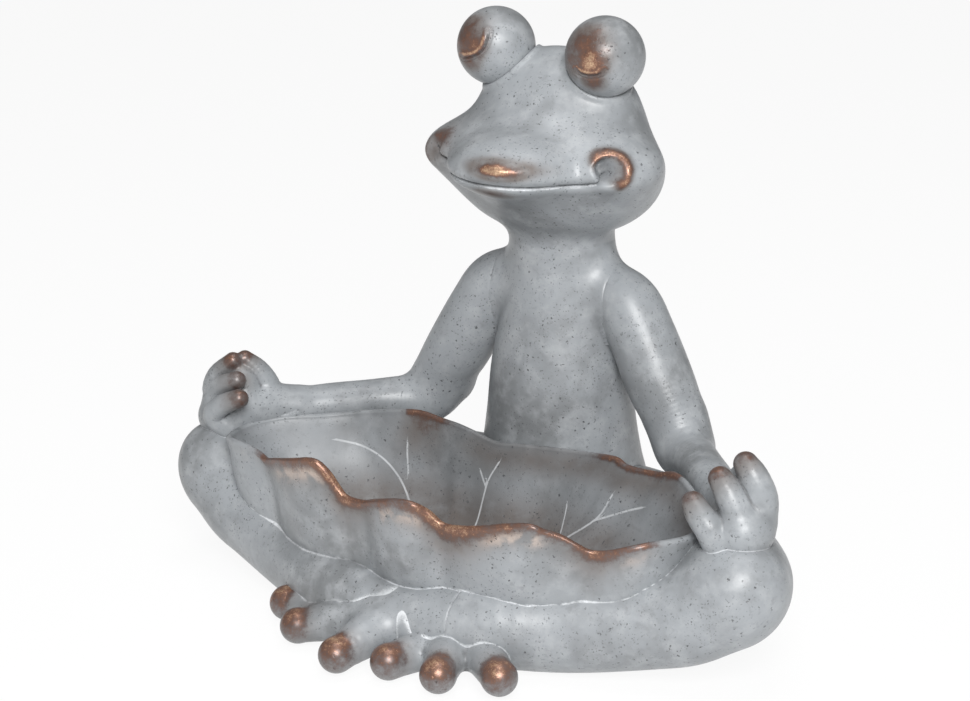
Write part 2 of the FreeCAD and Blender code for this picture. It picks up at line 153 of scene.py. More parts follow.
class FrogShape(bpy.types.PropertyGroup):
    """Sizes of the castings and how finely they are drawn."""
    seam: length("Seam", "Width of a glued seam", 0.0003)
    limb_pitch: length("Limb pitch", "Grid step of the legs", 0.0013, 0.0005)
    foot_pitch: length("Foot pitch", "Grid step of the feet", 0.0009, 0.0004)
    hand_pitch: length("Hand pitch", "Grid step of the hands", 0.0007, 0.0003)
    eye_radius: length("Eye radius", "Radius of each eyeball", 0.0225)
    leaf_wall: length("Leaf wall", "Thickness of the leaf's wall", 0.007)
    leaf_lip: length("Leaf lip", "Radius of the leaf's rounded rim", 0.0021)


class FrogStage(bpy.types.PropertyGroup):
    """Floor, lamps and camera."""
    floor: shade("Floor", "Colour of the floor and the backdrop", (0.92, 0.92, 0.92))
    whitening: share("Whitening", "How much of the floor is plain white to the camera", 0.92)
    sky: share("Sky", "Strength of the light from all round", 0.23)
    camera_height: length("Camera height", "Height of the camera", 0.5003)
    camera_distance: length("Camera distance", "Level distance of the camera", 1.2353)
    camera_turn: bpy.props.FloatProperty(name="Camera turn", description="Turn of the camera round the frog",
                                         default=math.radians(31.41), subtype="ANGLE", unit="ROTATION")
    lens: bpy.props.FloatProperty(name="Lens", description="Focal length", default=80.98, unit="CAMERA")


# A field is a function of points: negative inside a form, positive outside, in millimetres.

def smooth_step(low, high, value):
    """Rises from 0 at low to 1 at high as 3 t squared less 2 t cubed."""
    t = np.clip((value - low) / (high - low), 0, 1)
    return t * t * (3 - 2 * t)


def bell(away, width):
    """Falls from 1 where a distance is 0: e to the power of minus the square of its share of the width."""
    return np.exp(-(away / width) ** 2)


def joined(first, second, blend):
    """Lesser of two fields, rounded: mixed by a clamped share, less blend times share times its rest."""
    part = np.clip(0.5 + 0.5 * (second - first) / blend, 0, 1)
    return second + (first - second) * part - blend * part * (1 - part)


def kept(first, second, blend):
    """Greater of two fields, rounded the same way, which keeps what lies in both."""
    return -joined(-first, -second, blend)


def flowing(stations, steps=6):
    """Catmull-Rom curve through rows of numbers: each span is a cubic with the chord of its neighbours
    as slope."""
    rows = np.asarray(stations, float)
    padded = np.vstack([2 * rows[0] - rows[1], rows, 2 * rows[-1] - rows[-2]])
    t = np.linspace(0, 1, steps, endpoint=False)[None, :, None]
    p0, p1, p2, p3 = (padded[i:len(rows) - 1 + i, None, :] for i in range(4))
    spans = 0.5 * (2 * p1 + (p2 - p0) * t + (2 * p0 - 5 * p1 + 4 * p2 - p3) * t ** 2
                   + (3 * p1 - p0 - 3 * p2 + p3) * t ** 3)
    return np.vstack([spans.reshape(-1, rows.shape[1]), rows[-1]])


def tube(points, stations, steps=5):
    """Distance to a tapered tube: least, over its spans, of the distance to the span less the radius
    mixed along it."""
    path = flowing(stations, steps).astype(np.float32)
    least = np.full(len(points), 1e3, np.float32)
    for a, b in zip(path[:-1], path[1:]):
        along = b[:3] - a[:3]
        offset = points - a[:3]
        t = np.clip(offset @ along / max(along @ along, 1e-6), 0, 1)
        gap = np.sqrt(((offset - t[:, None] * along) ** 2).sum(1)) - (a[3] + (b[3] - a[3]) * t)
        np.minimum(least, gap, out=least)
    return least


def egg(points, centre, radii):
    """Near distance to an ellipsoid: k (k - 1) / m, with k the scaled radius and m the twice scaled
    one."""
    radii = np.asarray(radii, np.float32)
    scaled = (points - np.asarray(centre, np.float32)) / radii
    k = np.sqrt((scaled ** 2).sum(1))
    m = np.sqrt(((scaled / radii) ** 2).sum(1))
    return k * (k - 1) / np.maximum(m, 1e-6)


def ball(points, centre, radius):
    """Distance to a ball."""
    return np.sqrt(((points - np.asarray(centre, np.float32)) ** 2).sum(1)) - radius


def mirrored(points):
    """The same points on the other side of the middle plane."""
    return points * np.array((-1, 1, 1), points.dtype)


def put_mesh(name, points, faces, masks, node):
    """Mesh of points in millimetres and of index rows with three or four corners. The faces are turned
    over where the enclosed volume comes out negative. Each mask becomes a value on the points."""
    faces = [np.asarray(part) for part in faces if len(part)]
    quads = [part for part in faces if part.shape[1] == 4]
    tri = np.vstack([part[:, :3] for part in faces] + [part[:, (0, 2, 3)] for part in quads])
    volume = np.einsum("ij,ij->i", points[tri[:, 0]], np.cross(points[tri[:, 1]], points[tri[:, 2]])).sum()
    if volume < 0:
        faces = [part[:, ::-1] for part in faces]
    mesh = bpy.data.meshes.new(name)
    mesh.vertices.add(len(points))
    mesh.vertices.foreach_set("co", (points * MM).astype(np.float32).ravel())
    corners = np.concatenate([part.ravel() for part in faces])
    sizes = np.concatenate([np.full(len(part), part.shape[1]) for part in faces])
    mesh.loops.add(len(corners))
    mesh.loops.foreach_set("vertex_index", corners.astype(np.int32))
    mesh.polygons.add(len(sizes))
    mesh.polygons.foreach_set("loop_start", np.concatenate([[0], np.cumsum(sizes)[:-1]]).astype(np.int32))
    mesh.update(calc_edges=True)
    mesh.validate()
    mesh.polygons.foreach_set("use_smooth", np.ones(len(mesh.polygons), bool))
    mesh.set_sharp_from_angle(angle=SHARP_ANGLE)
    for mask, values in masks.items():
        layer = mesh.attributes.new(mask, "FLOAT", "POINT")
        layer.data.foreach_set("value", np.clip(values, 0, 1).astype(np.float32))
    piece = bpy.data.objects.new(name, mesh)
    bpy.context.scene.collection.objects.link(piece)
    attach(piece, "root")
    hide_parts(node)
    return piece


def signed_gap(points, lines, outward):
    """Distance to the nearest of some broken lines, negative on their one side as seen along outward:
    least of the distances to the spans, with the sign of the cross product of span and offset along
    outward."""
    least = np.full(len(points), 1e3)
    for line in lines:
        path = flowing(line, 4)
        for a, b in zip(path[:-1], path[1:]):
            way, offset = b - a, points - a
            t = np.clip(offset @ way / (way @ way), 0, 1)
            gap = np.linalg.norm(offset - t[:, None] * way, axis=1)
            side = np.where((np.cross(way, offset) * outward).sum(1) < 0, -1.0, 1.0)
            least = np.where(gap < np.abs(least), gap * side, least)
    return least


def with_poles(values):
    """The values of a grid in one row, with 0 for both of its poles."""
    return np.concatenate([values.ravel(), np.zeros(2)])


def round_grid(points):
    """The points of a grid whose columns close on themselves, with a pole past its first row and one past
    its last, and the index rows of the faces."""
    rows, columns = points.shape[:2]
    index = np.arange(rows * columns).reshape(rows, columns)
    after = np.roll(index, -1, 1)
    quads = np.stack([index[:-1], after[:-1], after[1:], index[1:]], -1).reshape(-1, 4)
    first, last = rows * columns, rows * columns + 1
    top = np.stack([np.full(columns, first), after[0], index[0]], -1)
    bottom = np.stack([np.full(columns, last), index[-1], after[-1]], -1)
    poles = np.stack([points[0].mean(0), points[-1].mean(0)])
    return np.vstack([points.reshape(-1, 3), poles]), [quads, np.vstack([top, bottom])]


def cast(origins, rays, field, reach=140.0, rounds=36):
    """Points where rays first leave a form. Each steps on by the field's depth, which never passes the
    skin by more than the field errs, and in the later rounds by that depth over the field's slope along
    the ray."""
    run = np.zeros(len(rays), np.float32)
    depth = field(origins)
    slope = np.ones(len(rays), np.float32)
    for count in range(rounds):
        moved = np.clip(run - 0.95 * depth / slope, 0, reach).astype(np.float32)
        after = field(origins + rays * moved[:, None])
        travel = moved - run
        if count > 14:
            measured = (after - depth) / np.where(np.abs(travel) > 1e-4, travel, 1)
            slope = np.where(np.abs(travel) > 1e-4, np.clip(measured, 0.2, 1.5), slope)
        run, depth = moved, after
    return origins + rays * run[:, None]


def limb_surface(path, field, columns, dome_rows, start_run=None, end_run=None, tilts=0.0):
    """Surface round a path: rays square to it at each station, and rays fanned over half a ball at both
    ends, each carried out to where the field is zero. The side axes are carried along with the least
    turn. Where a seam's direction is given, the rays turn into its plane over the last stations and the
    end is flat. The tilts lean the stations' rays towards the path's end."""
    path = np.asarray(path, float)
    run = np.gradient(path, axis=0)
    run /= np.linalg.norm(run, axis=1)[:, None]
    place = np.arange(len(path))[:, None]
    for seam_run, from_end in ((start_run, place), (end_run, len(path) - 1 - place)):
        if seam_run is not None:
            near = smooth_step(0.45 * len(path), 0, from_end)
            run = run * (1 - near) + np.asarray(seam_run) * near
    run /= np.linalg.norm(run, axis=1)[:, None]
    first = np.cross(run[0], (0.0, 1.0, 0.0))
    sides = [first / np.linalg.norm(first)]
    for step in run[1:]:
        side = sides[-1] - step * (sides[-1] @ step)
        sides.append(side / np.linalg.norm(side))
    sides = np.array(sides)
    others = np.cross(run, sides)
    turn = np.linspace(0, 2 * math.pi, columns, endpoint=False)
    tilt = (np.arange(dome_rows) + 0.5) / dome_rows * math.pi / 2
    before = tilt - math.pi / 2 if start_run is None else tilt[:0]
    after = tilt if end_run is None else tilt[:0]
    station = np.concatenate([0 * before, np.arange(len(path)), 0 * after + len(path) - 1]).astype(int)
    lean = np.concatenate([before, np.zeros(len(path)) + tilts, after])
    cosine, sine = np.cos(turn)[None, :, None], np.sin(turn)[None, :, None]
    around = sides[station][:, None] * cosine + others[station][:, None] * sine
    rays = around * np.cos(lean)[:, None, None] + (run[station] * np.sin(lean)[:, None])[:, None]
    origins = np.broadcast_to(path[station][:, None], rays.shape)
    points = cast(origins.reshape(-1, 3).astype(np.float32), rays.reshape(-1, 3).astype(np.float32), field)
    return round_grid(points.reshape(len(station), columns, 3).astype(float))


def poured(field, low, high, pitch):
    """Surface where a field is zero, for forms that rays can't follow. The field is worked out on a
    grid of cubes near the surface alone, found on a grid four times as coarse, and quads are drawn
    through its zero."""
    coarse = 4
    low, high = np.array(low, float), np.array(high, float)
    counts = np.ceil((high - low) / (pitch * coarse)).astype(int) + 1
    rough_axes = [low[i] + pitch * (coarse * np.arange(counts[i]) + (coarse - 1) / 2) for i in range(3)]
    rough = np.stack(np.meshgrid(*rough_axes, indexing="ij"), -1).reshape(-1, 3).astype(np.float32)
    rough_values = field(rough).reshape(counts)
    band = pitch * coarse * 1.6
    block = np.abs(rough_values) < band
    values = np.sign(rough_values)
    for axis in range(3):
        values = np.repeat(values, coarse, axis)
        block = np.repeat(block, coarse, axis)
    values = values.astype(np.float32) * 3 * pitch
    where = np.argwhere(block)
    fine = field((low + where * pitch).astype(np.float32))
    values[block] = np.clip(fine, -3 * pitch, 3 * pitch)
    grid = openvdb.FloatGrid(3 * pitch)
    grid.copyFromArray(values.astype(np.float64))
    points, quads = grid.convertToQuads(isovalue=0.0)
    return np.asarray(points, float) * pitch + low, [np.asarray(quads, int)]


def hollows(points, faces, rounds=3):
    """How deep each point lies against the mean of its neighbours along the surface normal, in shares
    of the side length: positive in a hollow and negative on a ridge, evened out over the neighbours a few
    times."""
    start, end = np.vstack([np.stack([part, np.roll(part, -1, 1)], -1).reshape(-1, 2) for part in faces]).T
    size = len(points)
    count = np.maximum(np.bincount(start, minlength=size) + np.bincount(end, minlength=size), 1)

    def mean(values):
        """Mean over the neighbours along the face sides."""
        totals = [np.bincount(start, column[end], size) + np.bincount(end, column[start], size)
                  for column in values.T]
        return np.stack(totals, -1) / count[:, None]

    tri = np.vstack([part[:, :3] for part in faces])
    face_normal = np.cross(points[tri[:, 1]] - points[tri[:, 0]], points[tri[:, 2]] - points[tri[:, 0]])
    normal = np.stack([sum(np.bincount(corner, column, size) for corner in tri.T)
                       for column in face_normal.T], -1)
    normal /= np.maximum(np.linalg.norm(normal, axis=1), 1e-9)[:, None]
    smooth = points
    for _ in range(rounds):
        smooth = mean(smooth)
    return ((smooth - points) * normal).sum(1)


def arm_form(points):
    """Distance to the left upper arm."""
    return tube(points, UPPER_ARM, 10)


def torso_form(points):
    """Level ellipses, a little flatter from front to back than from side to side."""
    squeezed = points.copy()
    squeezed[:, 1] = TORSO_BACK + (points[:, 1] - TORSO_BACK) / TORSO_DEPTH
    return tube(squeezed, TORSO, 7)


def body_form(points):
    """Torso with both upper arms run into it at the shoulders."""
    arms = np.minimum(arm_form(points), arm_form(mirrored(points)))
    return joined(torso_form(points), arms, 5 + 10 * smooth_step(135, 178, points[:, 2]))


def arm_zone(points):
    """Distance to the left upper arm, made much less above the armpit and past it, where all the skin
    is the arm's."""
    free = np.maximum(smooth_step(132, 148, points[:, 2]), smooth_step(50, 62, points[:, 0]))
    return arm_form(points) - 30 * free


def arm_side(points):
    """How far past the shoulder seam a point is, on the upper arm's side of it."""
    left = mirror_to_left(points)
    return np.minimum(left[:, 0] - SHOULDER_SEAM, 1.5 - arm_zone(left))


def trunk_piece(points):
    """The torso. Past its shoulder and neck seams it runs on a little, ever further below the skin."""
    past_arm = arm_side(points)
    past_neck = points[:, 2] - NECK_SEAM
    sunk = 0.35 * np.maximum(past_arm, 0) + 0.15 * np.maximum(past_neck, 0)
    skin = joined(body_form(points), head_core(points), 8) + sunk
    skin = np.maximum(skin, torso_form(points) - 10)
    return np.maximum(np.maximum(skin, past_arm - 6), np.maximum(past_neck - 6, -points[:, 2]))


def arm_skin(points):
    """The left arm from the torso to the palm, run together."""
    return joined(joined(body_form(points), tube(points, FOREARM, 9), 6), palm_form(points), 5)


def upper_arm_piece(points):
    """The arm past the shoulder seam. Before the seam it runs on a little, ever further below the skin."""
    short = -arm_side(points)
    return np.maximum(arm_skin(points) + 0.35 * np.maximum(short, 0), short - 5)


def along(start, end):
    """Unit direction from one point to another."""
    way = np.asarray(end, float) - start
    return way / np.linalg.norm(way)


def head_core(points):
    """Cranium, muzzle, jaw and cheeks run together."""
    cranium = egg(points, (0, -1.5, 269.7), (52.2, 35, 42.5))
    muzzle = egg(points, (0, -46.2, 252.5), (38.8, 37.7, 19.9))
    form = joined(cranium, muzzle, 22)
    form = joined(form, egg(points, (0, -4.2, 242), (64.9, 46.9, 38.3)), 16)
    for side in (1, -1):
        form = joined(form, egg(points, (side * 48, -21.4, 251.3), (27, 24.1, 15.3)), 18)
    return form


def head_form(points):
    """The head on the neck."""
    return joined(head_core(points), torso_form(points), 8)


# Rows of x and height along the mouth's line, from the right corner to the left one
MOUTH = np.array([(-62, 257), (-47, 251), (-25, 248), (-8, 246.8), (8, 246.3), (25, 245.7), (42, 245.4),
                  (50, 246.8), (56, 249.6), (62, 254)], float)
MOUTH_CORNER = np.array((56.5, -44.0, 254.5))
EYE = np.array((36.0, -13.0, 311.0))
# How finely the head and the eyes are drawn
HEAD_ROWS = 300
HEAD_COLUMNS = 330
EYE_ROWS = 220
EYE_COLUMNS = 320


def mouth_height(x):
    """Height of the mouth's line: low over the middle and curling up towards each corner."""
    line = flowing(MOUTH, 6)
    return np.interp(x, line[:, 0], line[:, 1])


def mouth_parts(points):
    """Shares of the mouth's groove, lips, corner pockets and the rings round them, and the way off its
    line."""
    x, y, z = points.T
    front_face = smooth_step(-5, -25, y)
    across = smooth_step(63, 57, np.abs(x)) * front_face
    off_line = z - mouth_height(x)
    from_corner = mirror_to_left(points) - MOUTH_CORNER
    corner = np.linalg.norm(from_corner, axis=1)
    entrance = np.linalg.norm(mirror_to_left(points) - (45, -49, 245), axis=1)
    rise = from_corner[:, 0] * 0.7 + from_corner[:, 2] * 0.7
    far_side = smooth_step(0, -12, x)
    return {
        "off_line": off_line,
        "groove": bell(off_line, 0.85) * across,
        "upper_lip": bell(off_line - 4.0, 3.4) * across,
        "lower_lip": bell(off_line + 3.6, 3.0) * across,
        "bump": bell(x - 10, 16) * bell(off_line - 9.8, 4.8) * front_face,
        "pout": bell(x - 3, 12) * bell(off_line + 5, 3.4) * front_face,
        "pocket": np.exp(-(corner / 6.0) ** 4) * front_face * (1 - 0.7 * far_side),
        "ring": bell(corner - 10.4, 3.6) * (1 - bell(entrance, 7)) * front_face
        * (1 - 0.5 * far_side),
        "far_corner": bell(corner, 15) * far_side,
        "outer": smooth_step(-8, 0, rise),
    }


def head_surface():
    """Rays from the middle of the head, closest together at the mouth, out to the head's form. The
    points are then pressed in along the mouth's line and its corner pockets, and raised at the lips,
    round the pockets and under the eyes."""
    rows = np.array([(0, 2), (150, 80), (330, 104), (360, 113), (400, 114.5), (435, 99), (460, 90)], float)
    place = np.linspace(0, rows[-1, 0], HEAD_ROWS)
    polar = np.radians(np.interp(place, rows[:, 0], rows[:, 1]))
    lowered = np.clip((place - 330) / 130, 0, 1)
    centres = np.stack([0 * lowered, -15 + 17 * lowered, 255 - (255 - NECK_SEAM - 0.1) * lowered], -1)
    front = np.linspace(-math.pi, math.pi, HEAD_COLUMNS, endpoint=False)
    turn = front - 0.35 * np.sin(front)
    across, upright = np.sin(polar)[:, None], np.cos(polar)[:, None]
    rays = np.stack([across * np.sin(turn), -across * np.cos(turn), upright * np.ones(len(turn))], -1)
    flat = rays.reshape(-1, 3).astype(np.float32)
    origins = np.broadcast_to(centres[:, None], rays.shape).reshape(-1, 3).astype(np.float32)
    points = cast(origins, flat, head_form).astype(float)
    part = mouth_parts(points)
    from_eye = np.linalg.norm(mirror_to_left(points) - EYE, axis=1)
    collar = bell(from_eye - 24.3, 1.7)
    shift = (1.3 * part["upper_lip"] + 1.2 * part["lower_lip"] + 3.8 * part["bump"] + 0.8 * part["pout"]
             + 2.6 * part["ring"] + 1.6 * collar - 2.8 * part["groove"] - 7.0 * part["pocket"])
    points += flat * shift[:, None]
    grid, faces = round_grid(points.reshape(len(polar), len(turn), 3))
    part = {name: with_poles(value) for name, value in part.items()}
    ring_rub = part["ring"] * part["outer"]
    bump_rub = 0.95 * smooth_step(0.2, 1.1, part["bump"])
    copper = np.maximum(np.maximum(0.74 * ring_rub, bump_rub), 0.5 * part["pout"])
    brown = np.maximum(smooth_step(0.0, 0.5, ring_rub), smooth_step(0.01, 0.35, part["bump"]))
    copper = np.maximum(copper, 0.8 * part["far_corner"] * smooth_step(-12, 6, part["off_line"] - 6))
    brown = np.maximum(np.maximum(brown, 0.9 * smooth_step(0.05, 0.7, part["pout"])), part["far_corner"])
    # Painted shade in the mouth's groove and corner pockets. The pale line just under the groove is a
    # painted highlight along the lower lip's edge, partly a worn pale line.
    line = 1 - np.abs(part["off_line"] + 0.7) / 4.5
    between_ends = smooth_step(62, 50, grid[:, 0]) * smooth_step(-42, -25, grid[:, 0])
    drawn = between_ends * smooth_step(-20, -35, grid[:, 1])
    return grid, faces, {"copper": copper, "hollow_shade": np.maximum(0.5 * part["groove"], 0.9 * part["pocket"]),
                         "pale": np.clip(line, 0, 1) * drawn, "brown": brown}


def mirror_to_left(points):
    """Every point brought to the left side."""
    return np.stack([np.abs(points[:, 0]), points[:, 1], points[:, 2]], -1)


# For each eye: the lid's crease, and spots of copper with their spread and strength. Every direction
# is an angle from the front towards the left side and one above the level.
LIDS = {
    "left": ([(-16, -15), (-4, -19), (8, -20), (20, -18), (29, -13)],
             [(8, 0, 26, 0.95), (-4, 16, 42, 0.68), (-32, 4, 34, 0.6), (10, -28, 22, 0.6)]),
    "right": ([(-30, -14), (-14, -12), (2, -7), (13, 2), (19, 15), (21, 30)],
              [(-22, 14, 40, 0.68), (0, 6, 22, 0.8), (-16, -8, 26, 0.72)]),
}


def eye_surface(radius, label):
    """A ball with a lid: a crease along a curve on the ball, a fainter one below it and a swell above
    it, each a bell of the distance from the curve."""
    centre = EYE * (1 if label == "left" else -1, 1, 1)
    polar = (np.arange(EYE_ROWS) + 0.5) / EYE_ROWS * math.pi
    turn = np.linspace(0, 2 * math.pi, EYE_COLUMNS, endpoint=False)
    across, level = np.sin(polar)[:, None], np.cos(polar)[:, None]
    rays = np.stack([across * np.sin(turn), level * np.ones(EYE_COLUMNS), -across * np.cos(turn)], -1)
    rays = rays.reshape(-1, 3)
    crease, rubs = LIDS[label]
    path = np.array([direction(*angles) for angles in crease]) * radius
    gap = signed_gap(rays * radius, [path], rays)
    from_ends = [np.linalg.norm(rays * radius - end, axis=1) for end in (path[0], path[-1])]
    depth = smooth_step(0, 4, np.minimum(*from_ends))
    line = bell(gap, 0.6) * depth
    second = bell(gap + 2.0, 0.55) * depth
    swell = bell(gap - 2.2, 1.9) * depth
    points = centre + rays * (radius - 0.9 * line - 0.5 * second + 0.5 * swell)[:, None]
    grid, faces = round_grid(points.reshape(EYE_ROWS, EYE_COLUMNS, 3))
    rub = np.zeros(len(rays))
    for azimuth, elevation, spread, strength in rubs:
        away = np.degrees(np.arccos(np.clip(rays @ direction(azimuth, elevation), -1, 1)))
        rub = np.maximum(rub, strength * bell(away, spread))
    # The lid's crease is darkened as painted shade
    masks = {"copper": 0.9 * np.maximum(rub, swell * smooth_step(0.05, 0.5, rub)), "hollow_shade": line,
             "pale": 0.86 * second, "brown": smooth_step(0.04, 0.4, rub)}
    return grid, faces, {name: with_poles(values) for name, values in masks.items()}


def direction(azimuth, elevation):
    """Unit vector from an angle from the front towards the left side and one above the level, in
    degrees."""
    a, e = math.radians(azimuth), math.radians(elevation)
    return np.array((math.sin(a) * math.cos(e), -math.cos(a) * math.cos(e), math.sin(e)))


def rim(turn, near_rows, far_rows):
    """What the near or the far table gives round the leaf, by the place along it."""
    place = np.cos(turn) * LEAF_HALF[0]
    near, far = flowing(near_rows, 8), flowing(far_rows, 8)
    return [np.where(np.sin(turn) < 0, np.interp(place, near[:, 0], near[:, column]),
                     np.interp(place, far[:, 0], far[:, column])) for column in (1, 2)]


# Rows of reach and level up the outer and the inner wall, in shares of the leaf's half sizes and height
OUTER_WALL = np.array([(0.0, 0.0), (0.35, 0.0), (0.62, 0.0), (0.73, 0.02), (0.82, 0.10), (0.87, 0.22),
                       (0.895, 0.40), (0.915, 0.62), (0.935, 0.84), (0.955, 1.0)])
INNER_WALL = np.array([(0.0, 0.0), (0.30, 0.0), (0.50, 0.0), (0.575, 0.03), (0.69, 0.16), (0.81, 0.45),
                       (0.895, 0.76), (0.955, 1.0)])


def bulge(level):
    """How far the wall's upright folds stand out at a level: its power 0.6 and three quarters of a
    sine over the wall."""
    return level ** 0.6 + 0.75 * np.sin(np.pi * np.clip(level, 0, 1))


def leaf_point(turn, reach, level, inset):
    """A point of the leaf: an ellipse of a share of the leaf's reach, less an inset, moved out by the
    rim's lean times the bulge and curled out under the crests, at a share of the rim's height."""
    height, lean = rim(turn, NEAR_RIM, FAR_RIM)
    curl = 1.2 * smooth_step(0.85, 1.0, level) * smooth_step(0, 4, lean)
    out = lean * bulge(level) + curl - inset
    x = (LEAF_HALF[0] * reach + out) * np.cos(turn) + LEAF_MIDDLE[0]
    y = (LEAF_HALF[1] * reach + out) * np.sin(turn) + LEAF_MIDDLE[1]
    return np.stack([x, y, LEAF_FOOT + level * (height - LEAF_FOOT)], -1)


# Veins on the far inner wall, as x and z from the rim down
VEINS = [np.array([(x, 0, z) for x, z in row], float) for row in (
    [(-112, 76), (-98, 73), (-84, 67), (-70, 57), (-57, 44)],
    [(-71, 78), (-69, 69), (-66, 60)], [(-8, 76), (-12, 63), (-12, 40)], [(-18, 70), (-12, 62)],
    [(74, 76), (67, 62), (50, 48)], [(97, 75), (82, 68), (67, 61)], [(42, 62), (44, 48)])]


def leaf_surface(shape):
    """One closed profile carried round the leaf: out along the underside, up the outer wall, over a
    rounded lip, down the inner wall and in along the floor."""
    wall, lip = shape.leaf_wall / MM, shape.leaf_lip / MM
    turn = np.linspace(0, 2 * math.pi, LEAF_COLUMNS, endpoint=False)
    ones = np.ones_like(turn)
    outer, inner = flowing(OUTER_WALL, 5)[1:], flowing(INNER_WALL, 8)[:0:-1]
    outer_rows = [leaf_point(turn, reach, ones * level, 0) for reach, level in outer]
    inner_rows = []
    for reach, level in inner:
        inset = (2 * lip + (wall - 2 * lip) * smooth_step(1.0, 0.6, level)) * smooth_step(0.0, 0.5, reach)
        raised = level + (1 - level) * wall / (LEAF_TOP - LEAF_FOOT)
        inner_rows.append(leaf_point(turn, reach, ones * raised, inset))
    a, b = outer_rows[-1], inner_rows[0]
    middle = (a + b) / 2
    half = (a - b) / 2
    lip_rows = [middle + math.cos(t) * half + math.sin(t) * np.linalg.norm(half, axis=1)[:, None] * (0, 0, 1)
                for t in np.radians(np.linspace(12, 168, LIP_ROWS))]
    points = np.stack(outer_rows + lip_rows + inner_rows)
    grid, faces = round_grid(points)
    levels = np.concatenate([outer[:, 1], np.ones(len(lip_rows)), inner[:, 1]])
    inside = np.concatenate([0 * outer[:, 1], np.linspace(0, 1, len(lip_rows)), 0 * inner[:, 1] + 1])
    return grid, faces, leaf_masks(grid, turn, levels, inside)


def leaf_masks(grid, turn, levels, inside):
    """Copper and a pinkish rub with painted sheen along the rim by the rub tables, brown in the bowl and
    under the rubs, painted shade in the bowl and its folds, a pale line along the far rim's top that is
    partly a painted highlight, and the veins, as their signed distance and where it counts."""
    height, lean = rim(turn, NEAR_RIM, FAR_RIM)
    strength, spread = rim(turn, NEAR_RUB, FAR_RUB)
    below = (1 - levels[:, None]) * (height - LEAF_FOOT)[None]
    within = inside[:, None] * np.ones_like(turn)[None]
    x, y, z = (column.reshape(below.shape) for column in grid[:-2].T)
    near = smooth_step(-95, -125, y)
    edge = bell(below, 1.8) * smooth_step(0.0, 0.4, strength) * 0.6
    reach = spread * (1 - 0.4 * within * near)
    copper = np.maximum(edge, 0.74 * strength * bell(below, reach))
    # Pinkish rub with painted sheen below the near crests, where they lean out
    blush_and_sheen = bell(below - 6, 4) * near * (1 - within) * smooth_step(0.5, 4, lean)
    blush_and_sheen = blush_and_sheen * smooth_step(-130, -118, x)
    low = smooth_step(70, 44, z) * within
    brown = np.maximum(0.95 * strength * bell(below, 2.2 * spread), 0.9 * low)
    under_rim = 0.7 * bell(below - 7, 8) * within * (1 - near) * smooth_step(-45, -20, x)
    streaks = bell(x + 67, 12) * smooth_step(40, 0, below) * (1 - near)
    brown = np.maximum(np.maximum(brown, under_rim), 0.95 * streaks)
    # Painted shade: the whole inside of the bowl, darker up the inner wall toward the +X end, in the folds
    # where the wall leans in, and down a fold near x = -36
    hollow_shade = within * np.maximum(0.38, 0.7 * smooth_step(78, 125, x) * smooth_step(52, 72, z))
    hollow_shade = np.maximum(hollow_shade, 0.62 * within * smooth_step(2.0, -1.5, lean)[None])
    hollow_shade = np.maximum(hollow_shade, 0.6 * within * bell(x + 36, 10))
    far_wall = with_poles(within * smooth_step(-100, -90, y))
    gap = signed_gap(grid * (1, 0, 1), VEINS, np.array((0, 1, 0)))
    outside = with_poles(1 - within)
    legs = seam_dust(grid, leg_form, lambda at: leg_form(mirrored(at)), left_foot_form)

    # Pale line along the far rim's top: a painted highlight with pale crust
    crest = 0.92 * bell(below, 1.2) * bell(within - 0.35, 0.2) * (1 - near)
    crest = crest * (1 - smooth_step(0.1, 0.5, strength))
    pale = np.maximum(legs * outside, with_poles(crest))
    masks = {"copper": copper, "brown": brown, "hollow_shade": hollow_shade, "blush_and_sheen": blush_and_sheen}
    masks = {name: with_poles(values) for name, values in masks.items()}
    return masks | {"pale": pale, "vein": 0.5 + 0.5 * gap / VEIN_REACH,
                    "vein_near": smooth_step(2.1, 1.2, np.abs(gap)) * far_wall}


def leaf_filled_form(points):
    """Near distance to the leaf's outer form, filled: how far the scaled radius is past the wall's at
    that height."""
    x = points[:, 0] / LEAF_HALF[0]
    y = (points[:, 1] - LEAF_MIDDLE[1]) / LEAF_HALF[1]
    radius = np.sqrt(x * x + y * y) + 1e-6
    table = flowing(OUTER_WALL[3:], 6)
    level = np.clip((points[:, 2] - LEAF_FOOT) / (LEAF_TOP - LEAF_FOOT), 0, 1.1)
    reach = np.interp(level, table[:, 1], table[:, 0])
    scale = LEAF_HALF[1] + (LEAF_HALF[0] - LEAF_HALF[1]) * (x / radius) ** 2
    _, lean = rim(np.arctan2(y, x), NEAR_RIM, FAR_RIM)
    past = (radius - reach) * scale - lean * bulge(level)
    return np.maximum(past * 0.85, LEAF_FOOT - points[:, 2])


def leaf_body_form(points):
    """The leaf's filled form up to its rim."""
    turn = np.arctan2((points[:, 1] - LEAF_MIDDLE[1]) / LEAF_HALF[1], points[:, 0] / LEAF_HALF[0])
    height, _ = rim(turn, NEAR_RIM, FAR_RIM)
    return np.maximum(leaf_filled_form(points), points[:, 2] - height - 1.5)


def leg_form(points):
    """The left thigh and shin run together."""
    return joined(tube(points, THIGH), tube(points, SHIN), 12)


# Root and tip of every toe
LEFT_TOES = [((-8, -160, 18), (-77, -165, 12)), ((-10, -164, 18), (-53, -186, 11.5)),
             ((-2, -168, 18), (-12, -205, 11.5))]
RIGHT_TOES = [((28, -158, 9), (15, -195, 10.5)), ((34, -160, 12), (47, -195, 11)),
              ((44, -156, 12), (76, -181, 11.5))]


